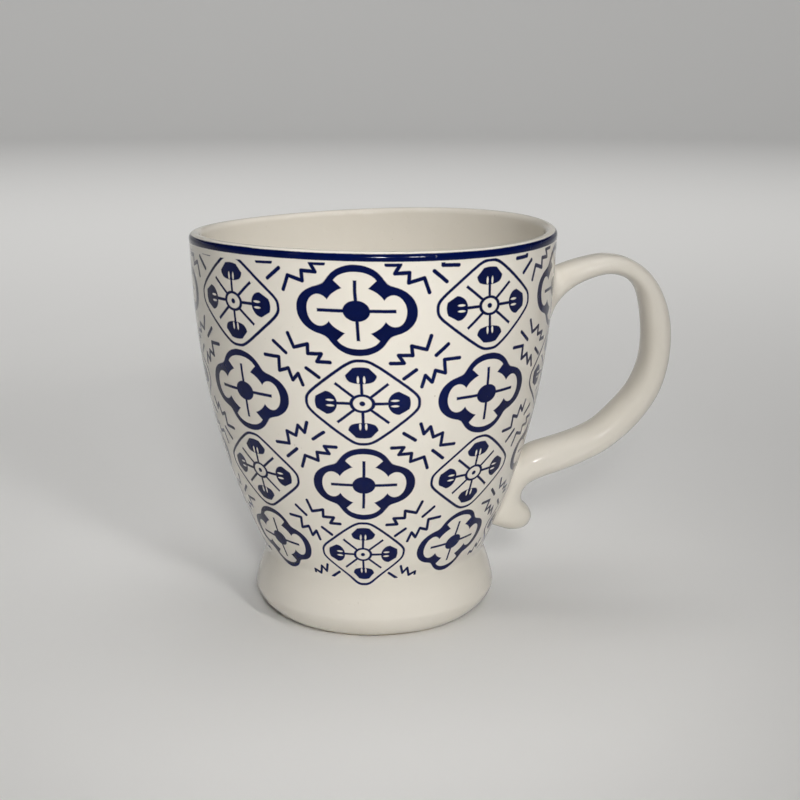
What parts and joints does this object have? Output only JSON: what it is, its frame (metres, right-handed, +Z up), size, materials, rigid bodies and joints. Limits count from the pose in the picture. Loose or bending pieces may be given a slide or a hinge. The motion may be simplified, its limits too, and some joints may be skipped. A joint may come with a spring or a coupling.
{
  "type": "footed stoneware mug",
  "caption": "Footed mug with a thin wall that swells from a narrow waist to a wide rim, a spreading hollow foot ring and an S-curved strap handle ending in a small knob.",
  "frame": {"origin": "middle of the bounding box, seen from above, at the level the foot ring stands on", "axes": "+Z up along the turning axis of the cup, +X towards the handle, so that the turning axis is at x = -0.0172 m"},
  "size_m": [0.1344, 0.1, 0.1083],
  "materials": {
    "ivory_glaze": "glossy warm white glaze with a cobalt blue print on the wall",
    "fired_slip": "matte fired clay slip"
  },
  "bodies": {
    "root": {"cup_bowl": "ivory_glaze", "pedestal_foot": "ivory_glaze", "handle": "ivory_glaze", "foot_slip_joint": "fired_slip", "handle_upper_slip_joint": "fired_slip", "handle_lower_slip_joint": "fired_slip"}
  },
  "joints": []
}
